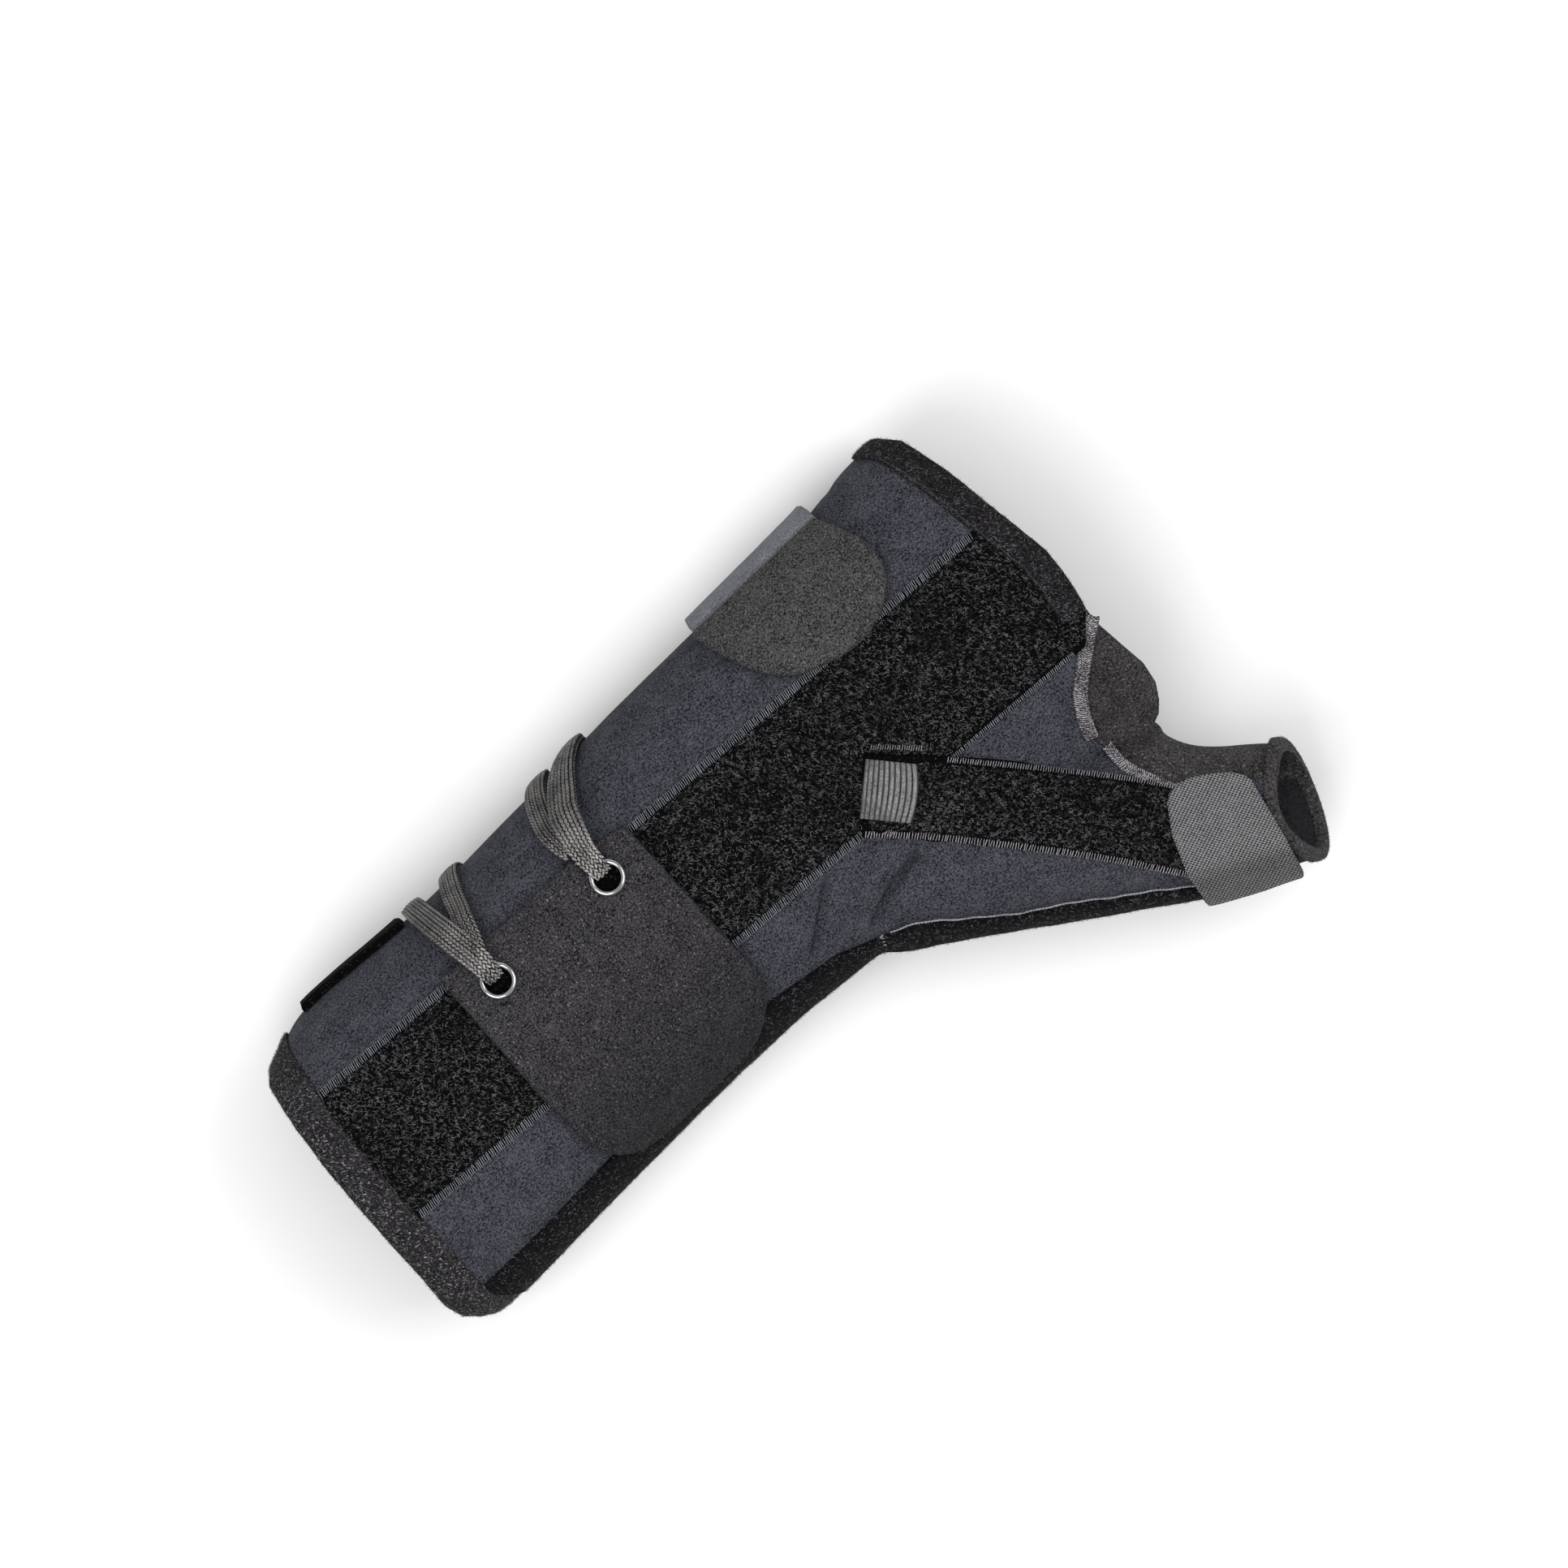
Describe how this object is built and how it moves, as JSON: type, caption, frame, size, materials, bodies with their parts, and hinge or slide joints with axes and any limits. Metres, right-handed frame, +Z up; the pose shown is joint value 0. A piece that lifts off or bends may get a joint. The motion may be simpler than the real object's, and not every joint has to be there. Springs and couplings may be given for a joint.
{
  "type": "thumb spica splint",
  "caption": "Soft wrist and thumb splint: laminate sleeve with a thumb tube, loop strips, straps, pull tab, eyelets and laces.",
  "frame": {"origin": "on the surface that the splint lies on, under the middle of its bounding box", "axes": "+X from the forearm to the fingers, +Y to the little-finger side, +Z up out of the palm"},
  "size_m": [0.2288, 0.1436, 0.0611],
  "materials": {
    "navy_laminate": "matte mottled knit",
    "loop_pile": "matte looped pile",
    "fleece_binding": "matte fleece",
    "charcoal_laminate": "matte suede-like",
    "grey_webbing": "matte woven",
    "ribbed_elastic": "ribbed",
    "braided_lace": "flat braid",
    "stretch_fabric": "matte stretch knit",
    "band_elastic": "matte elastic",
    "eyelet_chrome": "polished"
  },
  "bodies": {
    "root": {"sleeve_body": "navy_laminate", "web_panel": "stretch_fabric", "proximal_binding": "fleece_binding", "distal_binding": "fleece_binding", "distal_binding_back": "fleece_binding", "thumb_rim_binding": "fleece_binding", "radial_binding": "loop_pile", "palmar_loop_strip": "loop_pile", "thumb_loop_strip": "loop_pile", "stay_tab": "ribbed_elastic", "thumb_strap": "grey_webbing", "distal_strap_tab": "charcoal_laminate", "distal_strap_band": "band_elastic", "proximal_strap": "loop_pile", "pull_tab": "charcoal_laminate", "eyelet_proximal": "eyelet_chrome", "eyelet_distal": "eyelet_chrome", "proximal_lace": "braided_lace", "distal_lace": "braided_lace", "lace_anchor": "loop_pile"}
  },
  "joints": []
}
